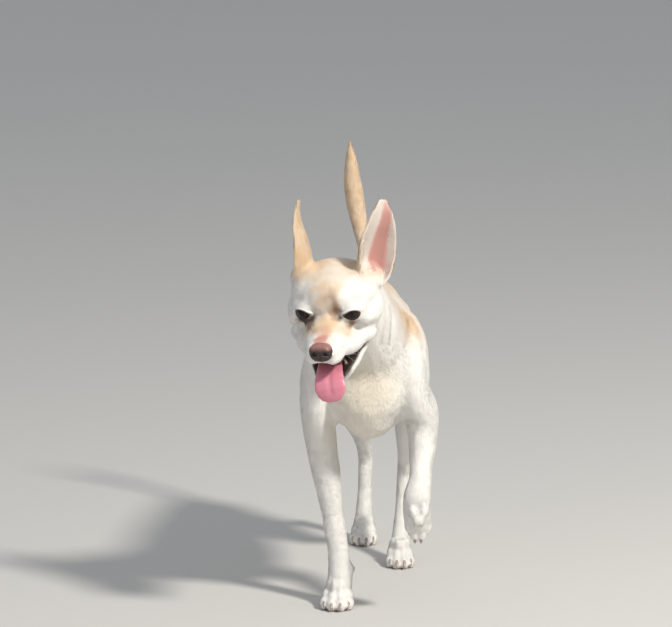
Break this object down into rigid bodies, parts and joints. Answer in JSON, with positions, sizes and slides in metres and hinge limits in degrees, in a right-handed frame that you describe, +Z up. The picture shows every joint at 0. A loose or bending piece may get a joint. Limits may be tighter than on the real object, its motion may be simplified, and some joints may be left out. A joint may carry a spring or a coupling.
{
  "type": "chihuahua dog",
  "caption": "Smooth-coated chihuahua, life size, walking towards the viewer with a fore paw raised, ears up and mouth open.",
  "frame": {"origin": "on the floor, under the middle of the bounding box", "axes": "-Y is the way the dog walks, +X its left side, +Z up"},
  "size_m": [0.1106, 0.3526, 0.3227],
  "materials": {
    "coat": "short smooth hair, white with fawn",
    "ear": "short hair outside, bare pink skin inside",
    "eye": "wet, dark brown",
    "nose_leather": "damp, finely pebbled",
    "tongue": "wet, pink"
  },
  "bodies": {
    "root": {"head": "coat", "neck": "coat", "torso": "coat", "tail": "coat", "foreleg_left": "coat", "foreleg_right": "coat", "hindleg_left": "coat", "hindleg_right": "coat", "lower_jaw": "coat", "ear_left": "ear", "ear_right": "ear", "eye_left": "eye", "eye_right": "eye", "nose": "nose_leather", "tongue": "tongue"}
  },
  "joints": []
}
